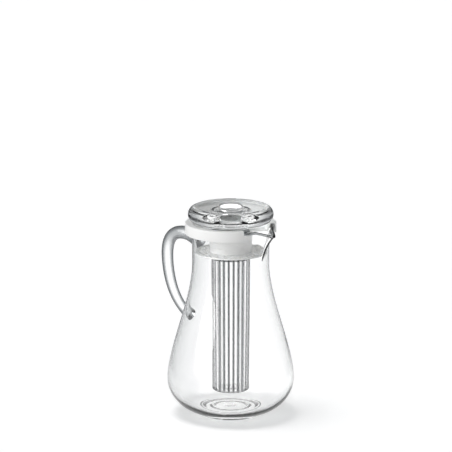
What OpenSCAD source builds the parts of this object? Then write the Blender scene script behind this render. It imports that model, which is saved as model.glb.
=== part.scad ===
// Pitcher with an ice core: a glass jug, a pouring lid with a strainer, a fluted tube that
// holds ice down in the drink, and a clear stopper that closes the tube.
// The origin is the centre of the foot, on the surface the jug stands on. +Z is up and the
// spout points along +X.

/* [Jug] */
// Height from the foot to the rim
jug_h = 235; // [220:1:260]
// Outer diameter of the belly
belly_d = 154; // [140:1:170]
// Height of the widest part of the belly
belly_z = 45; // [38:1:56]
// Outer diameter at the narrowest part of the neck
neck_d = 92.6; // [90:0.2:98]
// Depth below the rim at which the neck is narrowest
neck_drop = 47; // [43:1:59]
// Outer diameter of the rim
mouth_d = 104; // [100:0.5:112]
// Outer diameter of the foot that the jug stands on
foot_d = 73; // [60:1:80]
// Width of the flat ring that touches the table
foot_w = 4; // [3:0.5:8]
// Rise of the hollow under the foot
punt_h = 2.6; // [1.5:0.1:4]
// Thickness of the glass wall
glass_t = 2.3; // [1.8:0.1:3]
// Thickness of the glass in the base
base_t = 4; // [3:0.1:6.5]
// Diameter of the fire-polished bead round the rim
bead_d = 3.4; // [2.6:0.1:4]

/* [Spout] */
// How far the beak reaches out past the rim
spout_reach = 15; // [10:0.5:20]
// How far the tip of the beak dips below the rim
spout_drop = 6; // [3:0.5:9]
// Angle of the rim that the beak takes up
spout_angle = 39; // [30:1:50]
// Depth of the trough below the rim
spout_depth = 43; // [30:1:46]

/* [Handle] */
// Thickness of the glass rod that the handle is bent from
rod_d = 17.6; // [15:0.2:19]
// Thickness of the rod where it is drawn out at its lower end
rod_tip_d = 11; // [9:0.2:13]
// Reach of the handle's outer edge from the jug's axis
handle_reach = 102.7; // [98:0.1:112]
// Depth of the upper weld below the rim
handle_drop = 26.4; // [23:0.2:31]
// Height between the two welds
handle_h = 95; // [82:1:102]

/* [Lid] */
// Height of the lid's outer skirt
skirt_h = 13; // [9:0.5:16]
// Thickness of the lid's plastic
lid_t = 2; // [1.6:0.1:2.4]
// Clearance all round between the skirt and the rim
skirt_gap = 1; // [0.6:0.1:1.6]
// Depth of the dish in the lid
dish_depth = 9.8; // [7:0.2:11]
// Clearance between the dish and the glass at the dish's foot
dish_gap = 1; // [0.7:0.1:1.6]
// Angle of the pouring notch
notch_angle = 75; // [64:1:90]
// Wall thickness of the hub that the stopper passes through
hub_t = 2.2; // [1.9:0.1:2.6]
// Length of the hub below the dish's floor
hub_len = 18.7; // [15:0.1:20]

/* [Strainer] */
// Depth of the strainer plate's top below the lid's top
strainer_drop = 35; // [33:0.5:37]
// Thickness of the strainer plate
plate_t = 1.8; // [1.4:0.1:2.4]
// Clearance all round between the plate and the neck
plate_gap = 0.6; // [0.4:0.1:1.2]
// Number of holes in each of the two rings
hole_n = 24; // [18:1:28]
// Width of an outer hole, as a share of the plate's breadth from its collar to its edge
wide_hole_share = 0.35; // [0.28:0.01:0.38]
// Width of an inner hole, as a share of the same breadth
small_hole_share = 0.2; // [0.16:0.01:0.22]
// Wall thickness of the collar above the plate
collar_t = 1.4; // [1.2:0.1:1.8]

/* [Ice core] */
// Diameter of the core under its shoulder
core_d = 47.6; // [46.8:0.1:49]
// Diameter of the core near its closed end
core_tip_d = 45; // [43:0.1:46.5]
// Clearance between the core's closed end and the jug's floor
core_gap = 22.7; // [12:0.1:50]
// Thickness of the core's wall under a flute
core_t = 1.6; // [1.2:0.1:2.2]
// Number of flutes
flute_n = 24; // [16:1:26]
// Depth of a flute
flute_depth = 0.9; // [0.5:0.1:1.2]
// Radius of the cutter that leaves a flute
flute_r = 3.2; // [2.6:0.1:4]
// Outer diameter of the core's neck
core_neck_d = 42.6; // [42:0.1:43]
// Height of the core's neck above its shoulder
core_neck_h = 8.2; // [7.6:0.1:8.6]
// Wall thickness of the core's neck
core_neck_t = 1.8; // [1.4:0.1:2.2]

/* [Stopper] */
// Diameter of the knob
knob_d = 103; // [98:0.5:106]
// Thickness of the knob
knob_t = 19.6; // [18:0.2:24]
// Breadth of the knob's rounded edge
knob_edge = 9.4; // [7:0.2:12]
// Diameter of the finger dimple in the knob's top
dimple_d = 26; // [20:0.5:30]
// Depth of the finger dimple
dimple_h = 6.4; // [4:0.2:7]
// Diameter of the plug between its threads
plug_d = 45.8; // [45.2:0.1:46]
// Wall thickness of the plug
plug_t = 2; // [1.6:0.1:2.4]
// Diameter of the boss that is bonded into the knob
boss_d = 31; // [27:0.5:34]
// Height of the boss
boss_h = 9.4; // [7:0.2:10]
// Wall thickness of the boss
boss_t = 1.7; // [1.4:0.1:2]

/* [Threads and seals] */
// Pitch of the threads
pitch = 3; // [2.6:0.1:3.4]
// Height of the plug's thread ridges
ridge_h = 0.65; // [0.4:0.05:0.7]
// Height of the core neck's thread ridges
core_ridge_h = 1.3; // [1:0.05:1.4]
// Length of the threaded part of the plug
thread_len = 20; // [14:1:22]
// Thickness of the seal on the core's shoulder
core_seal_t = 1.6; // [1.2:0.1:2]
// Thickness of the seal at the plug's end
plug_seal_t = 1.2; // [1:0.1:1.6]
// Gap between pieces that rest on each other
seat_gap = 0.3; // [0.2:0.05:0.4]
// Gap between a thread's crest and the bore round it
fit_gap = 0.25; // [0.2:0.05:0.3]
// Gap round pieces that snap together
snap_gap = 0.05; // [0.03:0.01:0.08]

/* [Hidden] */
$fn = 96;

// Steps in the curved stretches of the outlines
arc_n = 8;
side_n = 12;
// How far a cut runs past the face it opens
over = 1;

// Colours as the eye sees them on a white ground
glass_colour = [0.80, 0.86, 0.88, 0.45];
acrylic_colour = [0.88, 0.90, 0.91, 0.55];
plastic_colour = [0.93, 0.93, 0.92];
silicone_colour = [0.86, 0.88, 0.88];

// Jug: radii and levels
belly_r = belly_d / 2;
neck_r = neck_d / 2;
mouth_r = mouth_d / 2;
foot_r = foot_d / 2;
bead_r = bead_d / 2;
bead_in_r = mouth_r - bead_d;
rim_arc_z = jug_h - bead_r;
neck_z = jug_h - neck_drop;

// The base curves in on a quarter ellipse; these shares of the belly set how round it is
base_round_shares = [0.61, 0.955];
// Pull of the shoulder's curve at the belly and at the neck, of the height between them
pull_shares = [0.245, 0.31];
// Where the neck starts to flare, and the pulls of the flare, of the height above the neck
flare_shares = [0.36, 0.62, 0.9];
// How much of the flare is done at the last pull
flare_in_share = 0.42;

function mix(a, b, s) = a + (b - a) * s;

// A cubic curve through two ends, drawn towards two pulls
function curve(p, s) =
    p[0] * pow(1 - s, 3) + p[1] * 3 * s * pow(1 - s, 2)
    + p[2] * 3 * s * s * (1 - s) + p[3] * pow(s, 3);

function curve_points(p, n) = [for (i = [0:n]) curve(p, i / n)];

// An elliptical arc round a centre, from one angle to another
function arc_points(centre, radii, from, to, n) =
    [for (i = [0:n]) let (a = mix(from, to, i / n))
        centre + [radii[0] * cos(a), radii[1] * sin(a)]];

// The belly, shoulder and neck of the jug, drawn in by a wall's thickness
function side_points(wall) =
    let (
        low = [belly_r - wall, belly_z],
        high = [neck_r - wall, neck_z],
        rise = neck_z - belly_z,
        flare_z = mix(neck_z, rim_arc_z, flare_shares[0]),
        flare_end = [mouth_r - bead_r + glass_t / 2 - wall, rim_arc_z]
    )
    concat(
        curve_points(
            [
                low,
                low + [0, rise * pull_shares[0]],
                high - [0, rise * pull_shares[1]],
                high
            ],
            side_n
        ),
        curve_points(
            [
                [high[0], flare_z],
                [high[0], mix(neck_z, rim_arc_z, flare_shares[1])],
                [
                    mix(high[0], flare_end[0], flare_in_share),
                    mix(neck_z, rim_arc_z, flare_shares[2])
                ],
                flare_end
            ],
            arc_n
        )
    );

base_radii = [belly_r * base_round_shares[0], belly_z * base_round_shares[1]];
base_centre = [belly_r - base_radii[0], belly_z];
// Angle on the base's ellipse at which the foot begins
foot_turn = -acos((foot_r + foot_w / 2 - base_centre[0]) / base_radii[0]);
base_points = arc_points(base_centre, base_radii, foot_turn, 0, arc_n);
inner_floor_z = punt_h + base_t;
inner_radii = [base_radii[0] - glass_t, belly_z - inner_floor_z];
inner_base = arc_points(base_centre, inner_radii, -90, 0, arc_n);

jug_outside = concat(
    [[foot_r - foot_w / 2, 0], [foot_r + foot_w / 4, 0]],
    base_points,
    side_points(0)
);
jug_inside = concat(inner_base, side_points(glass_t));
// Height and radius pairs that give the jug's outer radius at any height
jug_side = [for (p = concat(base_points, side_points(0))) [p[1], p[0]]];
neck_in_r = neck_r - glass_t;

// Spout: the beak's corners lie on the rim, at the tip and at the foot of its trough
lip_turn = spout_angle / 2;
lip_r = mouth_r - bead_r;
keel_z = jug_h - spout_depth;
keel_r = lookup(keel_z, jug_side) - glass_t / 2;
lip_corner = [lip_r * cos(lip_turn), lip_r * sin(lip_turn), rim_arc_z];
tip_corner = [lip_r + spout_reach, 0, rim_arc_z - spout_drop];
keel_corner = [keel_r, 0, keel_z];
beak_shift = glass_t * 0.65;
beak_open = spout_drop + bead_d;
beak_back = glass_t * 3;
cut_d = glass_t / 3;

// Handle: pulls of its path, as shares of its reach and of the height between its welds
handle_shares = [
    [0, 1], [0.307, 1.087], [1.059, 1.167], [1.034, 0.736],
    [1.014, 0.393], [0.743, 0.088], [0.30, 0]
];
handle_n = 14;
handle_sides = 16;
weld_share = 0.16;
weld_swell_share = 0.32;
rod_r = rod_d / 2;
rod_tip_r = rod_tip_d / 2;
handle_in = neck_r;
handle_out = handle_reach - rod_r;
handle_top_z = jug_h - handle_drop;
handle_low_z = handle_top_z - handle_h;

// Lid, strainer, core and stopper: the levels at which they rest on each other
lid_top_z = jug_h + seat_gap + lid_t;
dish_z = lid_top_z - dish_depth;
dish_low_z = dish_z - lid_t;
skirt_z = lid_top_z - skirt_h;
skirt_r = mouth_r + skirt_gap + lid_t;
plate_z = lid_top_z - strainer_drop;
plate_low_z = plate_z - plate_t;
seal_z = plate_low_z - seat_gap - core_seal_t;
shoulder_z = seal_z - seat_gap;
core_low_z = inner_floor_z + core_gap;
core_len = shoulder_z - core_low_z;
core_rim_z = shoulder_z + core_neck_h;
plug_seal_z = core_rim_z + seat_gap;
plug_low_z = plug_seal_z + plug_seal_t + seat_gap / 3;
knob_z = lid_top_z + seat_gap;

// Radii that nest: core neck, plug, hub and collar
plug_r = plug_d / 2;
plug_in_r = plug_r - plug_t;
crest_r = plug_r + ridge_h;
bore_r = crest_r + fit_gap;
hub_r = bore_r + hub_t;
hub_low_r = hub_r - hub_t / 5;
hub_low_z = dish_low_z - hub_len + lid_t;
hub_step_z = mix(hub_low_z, dish_low_z, 0.35);
collar_r = bore_r + collar_t;
spigot_r = bore_r + hub_t * 0.45;
spigot_h = hub_len / 5;
groove_r = bore_r + hub_t / 4;
core_neck_r = core_neck_d / 2;
core_crest_r = core_neck_r + core_ridge_h;
plate_r = neck_in_r - plate_gap;
plate_band = plate_r - collar_r;
wide_hole_r = plate_band * wide_hole_share / 2;
small_hole_r = plate_band * small_hole_share / 2;
wide_ring_r = plate_r - wide_hole_r * 1.9;
small_ring_r = mix(collar_r, wide_ring_r - wide_hole_r, 0.5) + small_hole_r / 3;

// Dish: its wall leans out with the flare of the glass
dish_foot_r = lookup(dish_low_z, jug_side) - glass_t - dish_gap;
dish_lip_r = bead_in_r - dish_gap;
lean = lid_t * 0.85;

// Core: its body, bore and flutes
core_r = core_d / 2;
core_tip_r = core_tip_d / 2;
core_round_r = core_tip_r / 8;
core_in_r = core_r - flute_depth - core_t;
core_tip_in_r = core_tip_r - flute_depth - core_t;
core_lean = atan((core_r - core_tip_r) / core_len);
core_neck_in_r = core_neck_r - core_neck_t;
shoulder_h = core_neck_t * 1.4;
nub_r = core_tip_r / 8;
nub_h = core_t * 0.8;
flute_in = flute_r - flute_depth;

// Knob and boss
knob_r = knob_d / 2;
dimple_r = dimple_d / 2;
dimple_lip = dimple_h / 4;
boss_r = boss_d / 2;
boss_in_r = boss_r - boss_t;
boss_round = boss_in_r / 3;
boss_low_z = knob_z - plug_t;

// The handle's path in the plane y = 0: two curves that join at its outermost point
function handle_at(share) = [
    mix(handle_in, handle_out, share[0]),
    mix(handle_low_z, handle_top_z, share[1])
];

handle_path =
    let (p = [for (s = handle_shares) handle_at(s)])
    let (high = [[lookup(handle_top_z, jug_side) - glass_t / 2, handle_top_z], p[1], p[2], p[3]])
    let (low = [p[3], p[4], p[5], [lookup(handle_low_z, jug_side) - glass_t / 2, handle_low_z]])
    concat(
        curve_points(high, handle_n),
        [for (i = [1:handle_n]) curve(low, i / handle_n)]
    );

// The rod thins towards its lower end and swells where it is welded to the glass
function weld_swell(s) =
    let (near = min(s, 1 - s) / weld_share)
    near < 1 ? 1 + weld_swell_share * pow(1 - near, 2) : 1;

function rod_at(s) = mix(rod_r, rod_tip_r, s) * weld_swell(s);

// A round rod along a path in the plane y = 0, as rings of points
module rod_along(path, sides) {
    last = len(path) - 1;
    rings = [
        for (i = [0:last])
            let (
                ahead = path[min(i + 1, last)] - path[max(i - 1, 0)],
                way = ahead / norm(ahead),
                across = [way[1], -way[0]],
                r = rod_at(i / last)
            )
            for (j = [0:sides - 1])
                let (a = 360 * j / sides, off = across * r * cos(a))
                [path[i][0] + off[0], r * sin(a), path[i][1] + off[1]]
    ];
    skin = [
        for (i = [0:last - 1])
            for (j = [0:sides - 1])
                let (
                    a = i * sides + j,
                    b = i * sides + (j + 1) % sides
                )
                [a, b, b + sides, a + sides]
    ];
    ends = [
        [for (j = [sides - 1:-1:0]) j],
        [for (j = [0:sides - 1]) last * sides + j]
    ];
    polyhedron(points = rings, faces = concat(skin, ends), convexity = 4);
}

module at_corner(corner, d) {
    translate(corner)
        sphere(d = d, $fn = 16);
}

// The beak as drawn from its four corners, before the trough is hollowed out of it
module beak_solid() {
    hull() {
        for (side = [-1, 1])
            at_corner([lip_corner[0], side * lip_corner[1], lip_corner[2]], bead_d);
        at_corner(tip_corner, bead_d);
        at_corner(keel_corner, glass_t);
    }
}

// The hollow of the beak, open above the lip and into the neck
module beak_hollow() {
    lip = lip_corner - [beak_shift, 0, 0];
    tip = tip_corner - [beak_shift * 1.4, 0, 0];
    keel = keel_corner - [beak_shift, 0, 0];
    hull() {
        for (side = [-1, 1]) {
            at_corner([lip[0], side * lip[1], lip[2]], cut_d);
            at_corner([lip[0], side * lip[1], lip[2] + beak_open], cut_d);
            at_corner([lip[0] - beak_back, side * lip[1], lip[2] + beak_open], cut_d);
        }
        at_corner(tip, cut_d);
        at_corner(tip + [0, 0, beak_open], cut_d);
        at_corner(keel, cut_d);
        at_corner(keel - [beak_back, 0, 0], cut_d);
    }
}

// Everything inside the jug's outer face, for shaping what is welded to it
module jug_solid() {
    rotate_extrude()
        polygon(concat([[0, 0]], jug_outside, [[0, rim_arc_z]]));
}

// Rings of thread ridge on a shaft, from one level up to another
module ridges(root_r, crest, low, high) {
    count = floor((high - low) / pitch);
    for (i = [0:count - 1])
        rotate_extrude()
            polygon([
                [root_r - ridge_h, low + i * pitch],
                [root_r, low + i * pitch],
                [crest, low + (i + 0.4) * pitch],
                [crest, low + (i + 0.55) * pitch],
                [root_r, low + (i + 0.95) * pitch],
                [root_r - ridge_h, low + (i + 0.95) * pitch]
            ]);
}

module jug_body() {
    color(glass_colour)
        difference() {
            union() {
                rotate_extrude()
                    polygon(concat(
                        [[0, punt_h], [foot_r - foot_w * 1.4, punt_h]],
                        jug_outside,
                        [for (i = [len(jug_inside) - 1:-1:0]) jug_inside[i]],
                        [[0, inner_floor_z]]
                    ));
                rotate_extrude()
                    translate([mouth_r - bead_r, rim_arc_z])
                        circle(r = bead_r, $fn = 48);
                beak_solid();
            }
            beak_hollow();
        }
}

module jug_handle() {
    color(glass_colour)
        difference() {
            mirror([1, 0, 0])
                rod_along(handle_path, handle_sides);
            jug_solid();
        }
}

// The lid's moulding: skirt, cap, dish and hub, with the pouring notch cut to the hub
module lid_cover() {
    color(plastic_colour)
        difference() {
            rotate_extrude()
                polygon([
                    [bore_r, hub_low_z + spigot_h],
                    [spigot_r + snap_gap, hub_low_z + spigot_h],
                    [spigot_r + snap_gap, hub_low_z],
                    [hub_low_r, hub_low_z],
                    [hub_low_r, hub_step_z],
                    [hub_r, hub_step_z],
                    [hub_r, dish_low_z],
                    [dish_foot_r, dish_low_z],
                    [dish_lip_r, lid_top_z - lid_t],
                    [skirt_r - lid_t, lid_top_z - lid_t],
                    [skirt_r - lid_t, skirt_z],
                    [skirt_r, skirt_z],
                    [skirt_r, lid_top_z - lid_t / 3],
                    [skirt_r - lid_t / 3, lid_top_z],
                    [dish_lip_r - lean + lid_t / 3, lid_top_z],
                    [dish_lip_r - lean, lid_top_z - lid_t / 3],
                    [dish_foot_r - lean, dish_z],
                    [bore_r, dish_z]
                ]);
            rotate([0, 0, -notch_angle / 2])
                rotate_extrude(angle = notch_angle)
                    translate([hub_r, skirt_z - over])
                        square([skirt_r - hub_r + over, lid_top_z - skirt_z + 2 * over]);
            thread_groove(groove_r, hub_low_z + spigot_h + pitch / 2, dish_z - pitch);
        }
}

// The grooves that the plug's ridges turn in
module thread_groove(depth_r, low, high) {
    count = floor((high - low) / pitch);
    for (i = [0:count - 1])
        translate([0, 0, low + i * pitch])
            rotate_extrude()
                polygon([
                    [bore_r - over, 0],
                    [bore_r, 0],
                    [depth_r, pitch / 4],
                    [depth_r, pitch / 2],
                    [bore_r, pitch * 0.75],
                    [bore_r - over, pitch * 0.75]
                ]);
}

// The perforated plate and its collar, which snaps up into the hub and takes the core's neck
module strainer() {
    core_bore_r = core_crest_r + fit_gap;
    ledge_z = core_rim_z - pitch / 4;
    color(plastic_colour)
        difference() {
            rotate_extrude()
                polygon([
                    [core_bore_r, plate_low_z],
                    [plate_r - plate_t / 4, plate_low_z],
                    [plate_r, plate_low_z + plate_t / 4],
                    [plate_r, plate_z - plate_t / 4],
                    [plate_r - plate_t / 4, plate_z],
                    [collar_r, plate_z],
                    [collar_r, hub_low_z],
                    [spigot_r, hub_low_z],
                    [spigot_r, hub_low_z + spigot_h - snap_gap],
                    [bore_r, hub_low_z + spigot_h - snap_gap],
                    [bore_r, ledge_z],
                    [core_bore_r, ledge_z]
                ]);
            for (i = [0:hole_n - 1])
                rotate([0, 0, 360 * i / hole_n]) {
                    translate([wide_ring_r, 0, plate_low_z - over])
                        cylinder(r = wide_hole_r, h = plate_t + 2 * over, $fn = 32);
                    rotate([0, 0, 180 / hole_n])
                        translate([small_ring_r, 0, plate_low_z - over])
                            cylinder(r = small_hole_r, h = plate_t + 2 * over, $fn = 24);
                }
            thread_groove(bore_r, plate_low_z + pitch / 4, plate_low_z + 2 * pitch);
        }
}

// The fluted tube that is filled with ice: open at its threaded neck, closed below
module core_tube() {
    round_points = arc_points(
        [core_tip_r - core_round_r, core_low_z + core_round_r],
        [core_round_r, core_round_r], -90, 0, arc_n
    );
    color(acrylic_colour) {
        difference() {
            rotate_extrude()
                polygon(concat(
                    [[0, core_low_z]],
                    round_points,
                    [
                        [core_r, shoulder_z],
                        [core_neck_r, shoulder_z],
                        [core_neck_r, core_rim_z],
                        [core_neck_in_r, core_rim_z],
                        [core_neck_in_r, shoulder_z - shoulder_h],
                        [core_in_r, shoulder_z - 2 * shoulder_h],
                        [core_tip_in_r, core_low_z + core_round_r],
                        [core_tip_in_r - core_round_r / 2, core_low_z + core_t],
                        [0, core_low_z + core_t]
                    ]
                ));
            for (i = [0:flute_n - 1])
                rotate([0, 0, 360 * i / flute_n])
                    translate([core_tip_r + flute_in, 0, core_low_z - over])
                        rotate([0, core_lean, 0])
                            cylinder(r = flute_r, h = core_len - shoulder_h + over, $fn = 32);
        }
        ridges(core_neck_r, core_crest_r, seal_z + core_seal_t + seat_gap / 2, core_rim_z);
        translate([0, 0, core_low_z - nub_h])
            cylinder(r = nub_r, h = nub_h + core_t / 2, $fn = 32);
    }
}

// The ring of silicone on the core's shoulder, which the strainer's collar closes on
module core_seal() {
    color(silicone_colour)
        translate([0, 0, seal_z])
            difference() {
                cylinder(r = core_r, h = core_seal_t);
                translate([0, 0, -over])
                    cylinder(r = core_neck_r + snap_gap, h = core_seal_t + 2 * over);
            }
}

// The knob: a thick clear disc with a rolled edge, a finger dimple above and a socket below
module stopper_knob() {
    half = knob_t / 2;
    edge_r = knob_r - knob_edge;
    socket_z = knob_z + boss_h + snap_gap;
    color(acrylic_colour)
        rotate_extrude()
            polygon(concat(
                [
                    [0, socket_z],
                    [boss_r + snap_gap, socket_z],
                    [boss_r + snap_gap, knob_z]
                ],
                arc_points([edge_r, knob_z + half], [knob_edge, half], -90, 90, 2 * arc_n),
                arc_points(
                    [dimple_r + dimple_lip, knob_z + knob_t - dimple_lip],
                    [dimple_lip, dimple_lip], 90, 180, arc_n / 2
                ),
                arc_points(
                    [dimple_r - dimple_lip, knob_z + knob_t - dimple_h + dimple_lip],
                    [dimple_lip, dimple_lip], 0, -90, arc_n / 2
                ),
                [[0, knob_z + knob_t - dimple_h]]
            ));
}

// The threaded plug: a hollow cup bonded to the knob by its boss
module stopper_plug() {
    color(acrylic_colour) {
        rotate_extrude()
            polygon(concat(
                [
                    [plug_in_r, plug_low_z],
                    [plug_r, plug_low_z],
                    [plug_r, knob_z],
                    [boss_r, knob_z],
                    [boss_r, knob_z + boss_h],
                    [0, knob_z + boss_h],
                    [0, knob_z + boss_h - boss_t]
                ],
                arc_points(
                    [boss_in_r - boss_round, knob_z + boss_h - boss_t - boss_round],
                    [boss_round, boss_round], 90, 0, arc_n / 2
                ),
                [
                    [boss_in_r, boss_low_z],
                    [plug_in_r, boss_low_z]
                ]
            ));
        ridges(plug_r, crest_r, plug_low_z, plug_low_z + thread_len);
    }
}

// The ring of silicone at the plug's end, which closes on the rim of the core
module stopper_seal() {
    color(silicone_colour)
        translate([0, 0, plug_seal_z])
            difference() {
                cylinder(r = plug_r, h = plug_seal_t);
                translate([0, 0, -over])
                    cylinder(r = core_neck_in_r, h = plug_seal_t + 2 * over);
            }
}

jug_body();
jug_handle();
lid_cover();
strainer();
core_tube();
core_seal();
stopper_knob();
stopper_plug();
stopper_seal();
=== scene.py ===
"""The looks of a pitcher with an ice core, modelled round its packed construction.

The jug and its handle are one clear glass mesh, the lid and strainer are white mouldings, and
the ice core and the stopper are clear plastic with real screw threads. Lengths in the classes
are in millimetres, as a maker writes them, and turn to metres as the meshes are made.
"""
from __future__ import annotations

import logging
import math
from dataclasses import dataclass, field, replace
from enum import Enum
from typing import Any, Callable

import bpy
import numpy as np
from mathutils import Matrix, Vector


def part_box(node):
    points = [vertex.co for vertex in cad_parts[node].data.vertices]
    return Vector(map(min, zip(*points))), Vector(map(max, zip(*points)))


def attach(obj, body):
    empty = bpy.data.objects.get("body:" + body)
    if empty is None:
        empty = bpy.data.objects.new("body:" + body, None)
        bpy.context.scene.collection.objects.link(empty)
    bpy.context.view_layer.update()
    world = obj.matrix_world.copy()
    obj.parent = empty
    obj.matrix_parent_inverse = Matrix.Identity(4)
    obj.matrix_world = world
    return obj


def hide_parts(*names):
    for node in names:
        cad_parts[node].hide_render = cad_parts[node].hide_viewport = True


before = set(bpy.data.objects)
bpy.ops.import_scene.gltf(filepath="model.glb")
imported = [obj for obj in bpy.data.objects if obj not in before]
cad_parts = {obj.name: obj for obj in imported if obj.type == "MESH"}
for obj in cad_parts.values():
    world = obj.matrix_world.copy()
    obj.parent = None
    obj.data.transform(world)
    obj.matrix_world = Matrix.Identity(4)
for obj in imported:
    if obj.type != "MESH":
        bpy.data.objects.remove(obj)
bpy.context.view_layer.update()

LOG = logging.getLogger("pitcher")
MM = 0.001
TURN = 2 * math.pi
WHITE = (1.0, 1.0, 1.0, 1.0)
# The smallest turn that counts as a corner, in degrees, and how much of a stretch rounding takes
CORNER_TURN = 12
CORNER_SHARE = 0.45
# Points closer than this are one, in metres: along an outline, and in a turned mesh
LINE_GAP = 1e-7
MESH_GAP = 1e-6
# The numbers of the jug's finishes
WALL, ROD, BEAD = range(3)

Piece = bpy.types.Object
Material = bpy.types.Material
Tree = bpy.types.NodeTree
Node = bpy.types.Node
Socket = bpy.types.NodeSocket
Point = tuple[float, float]
Way = tuple[float, float, float]
Outline = list[Point]
Places = tuple[np.ndarray, np.ndarray, np.ndarray]
Polar = Callable[[np.ndarray, np.ndarray, np.ndarray], Places]


class Side(Enum):
    """Whether a tool is cut out of a piece or joined to it."""

    DIFFERENCE = "DIFFERENCE"
    UNION = "UNION"


def level(node: str, top: bool) -> float:
    """Returns the height of a construction node's top or bottom, in millimetres."""
    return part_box(node)[1 if top else 0].z / MM


# Outlines


def cubic(ends: tuple[Point, Point, Point, Point], steps: int) -> Outline:
    """Draws a cubic curve.

    Args:
        ends: the start, its pull, the end's pull and the end.
        steps: the number of stretches.

    Returns:
        The points, both ends included.
    """
    p = np.array(ends, float)
    s = np.linspace(0, 1, steps + 1)[:, None]
    made = p[0] * (1 - s) ** 3 + 3 * p[1] * s * (1 - s) ** 2 + 3 * p[2] * s**2 * (1 - s) + p[3] * s**3
    return [tuple(q) for q in made]


def arc(centre: Point, radii: Point, start: float, stop: float, steps: int) -> Outline:
    """Draws an elliptical arc.

    Args:
        centre: the arc's centre.
        radii: its half axes.
        start: the first angle, in degrees.
        stop: the last angle, in degrees.
        steps: the number of stretches.

    Returns:
        The points, both ends included.
    """
    a = np.radians(np.linspace(start, stop, steps + 1))
    return [(centre[0] + radii[0] * math.cos(t), centre[1] + radii[1] * math.sin(t)) for t in a]


def softened(outline: Outline, radius: float, closed: bool, steps: int = 3) -> Outline:
    """Rounds every corner of an outline that turns by more than a few degrees.

    Args:
        outline: the corners in order.
        radius: how far from a corner its rounding starts, at most.
        closed: whether the last point joins the first.
        steps: the stretches in each rounding.

    Returns:
        The rounded outline.
    """
    count = len(outline)
    made: Outline = []
    for i, corner in enumerate(outline):
        if not closed and i in (0, count - 1):
            made.append(corner)
            continue
        here = np.array(corner)
        back = np.array(outline[i - 1]) - here
        ahead = np.array(outline[(i + 1) % count]) - here
        back_len, ahead_len = np.linalg.norm(back), np.linalg.norm(ahead)
        straight = -float(back @ ahead) / (back_len * ahead_len)
        if straight > math.cos(math.radians(CORNER_TURN)):
            made.append(corner)
            continue
        start = here + back / back_len * min(radius, CORNER_SHARE * back_len)
        stop = here + ahead / ahead_len * min(radius, CORNER_SHARE * ahead_len)
        for s in np.linspace(0, 1, steps + 1):
            made.append(tuple(start * (1 - s) ** 2 + 2 * here * s * (1 - s) + stop * s**2))
    return made


def divided(outline: Outline, step: float, low: float = -math.inf, high: float = math.inf) -> Outline:
    """Adds points along the long stretches of an outline, between two heights.

    Args:
        outline: the points in order.
        step: the longest stretch to leave.
        low: the lowest height that is divided.
        high: the highest height that is divided.

    Returns:
        The outline with the added points.
    """
    made = [outline[0]]
    for a, b in zip(outline, outline[1:]):
        inside = low <= (a[1] + b[1]) / 2 <= high
        parts = max(1, math.ceil(math.dist(a, b) / step)) if inside else 1
        made += [
            (a[0] + (b[0] - a[0]) * k / parts, a[1] + (b[1] - a[1]) * k / parts)
            for k in range(1, parts + 1)
        ]
    return made


# Modelling by hand


def active() -> Piece:
    """Returns the object being worked on."""
    return bpy.context.view_layer.objects.active


def pick(obj: Piece) -> None:
    """Makes one object the only selected one, and the active one."""
    bpy.ops.object.select_all(action="DESELECT")
    obj.select_set(True)
    bpy.context.view_layer.objects.active = obj


def lathe(name: str, outline: Outline, steps: int, angle: float = TURN, closed: bool = False) -> Piece:
    """Turns an outline round the Z axis: a point is drawn out along it and then spun.

    Args:
        name: the new object's name.
        outline: radius and height pairs in millimetres, in order.
        steps: the number of columns.
        angle: how far it is spun, from the XZ plane.
        closed: whether the last point joins the first.

    Returns:
        The turned object, at the origin, its faces pointing out.
    """
    points = [Vector((r * MM, 0, z * MM)) for r, z in outline]
    if closed:
        points.append(points[0].copy())
    bpy.ops.object.select_all(action="DESELECT")
    bpy.ops.mesh.primitive_plane_add(size=MM)
    obj = active()
    obj.name = obj.data.name = name
    bpy.ops.object.mode_set(mode="EDIT")
    bpy.ops.mesh.select_all(action="SELECT")
    bpy.ops.mesh.merge(type="CENTER")
    bpy.ops.transform.translate(value=points[0])
    for a, b in zip(points, points[1:]):
        bpy.ops.mesh.extrude_vertices_move(TRANSFORM_OT_translate={"value": b - a})
    bpy.ops.mesh.select_all(action="SELECT")
    bpy.ops.mesh.remove_doubles(threshold=LINE_GAP)
    bpy.ops.mesh.select_all(action="SELECT")
    bpy.ops.mesh.spin(steps=steps, angle=angle, center=(0, 0, 0), axis=(0, 0, 1))
    bpy.ops.mesh.select_all(action="SELECT")
    bpy.ops.mesh.remove_doubles(threshold=MESH_GAP)
    if angle < TURN:
        bpy.ops.mesh.select_all(action="DESELECT")
        bpy.ops.mesh.select_mode(type="EDGE")
        bpy.ops.mesh.select_non_manifold()
        bpy.ops.mesh.fill_holes(sides=0)
        bpy.ops.mesh.select_mode(type="VERT")
    bpy.ops.mesh.select_all(action="SELECT")
    bpy.ops.mesh.normals_make_consistent(inside=False)
    bpy.ops.object.mode_set(mode="OBJECT")
    return obj


def press(obj: Piece, shape: Polar) -> None:
    """Moves a mesh's points by a rule on their radius, angle and height.

    Args:
        obj: the mesh object, at the origin.
        shape: takes and gives radius in millimetres, angle in radians and height in millimetres.
    """
    co = np.empty(len(obj.data.vertices) * 3)
    obj.data.vertices.foreach_get("co", co)
    x, y, z = co.reshape(-1, 3).T / MM
    r, a, z = shape(np.hypot(x, y), np.arctan2(y, x), z)
    co = np.column_stack((r * np.cos(a), r * np.sin(a), z)) * MM
    obj.data.vertices.foreach_set("co", co.ravel())
    obj.data.update()


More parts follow.
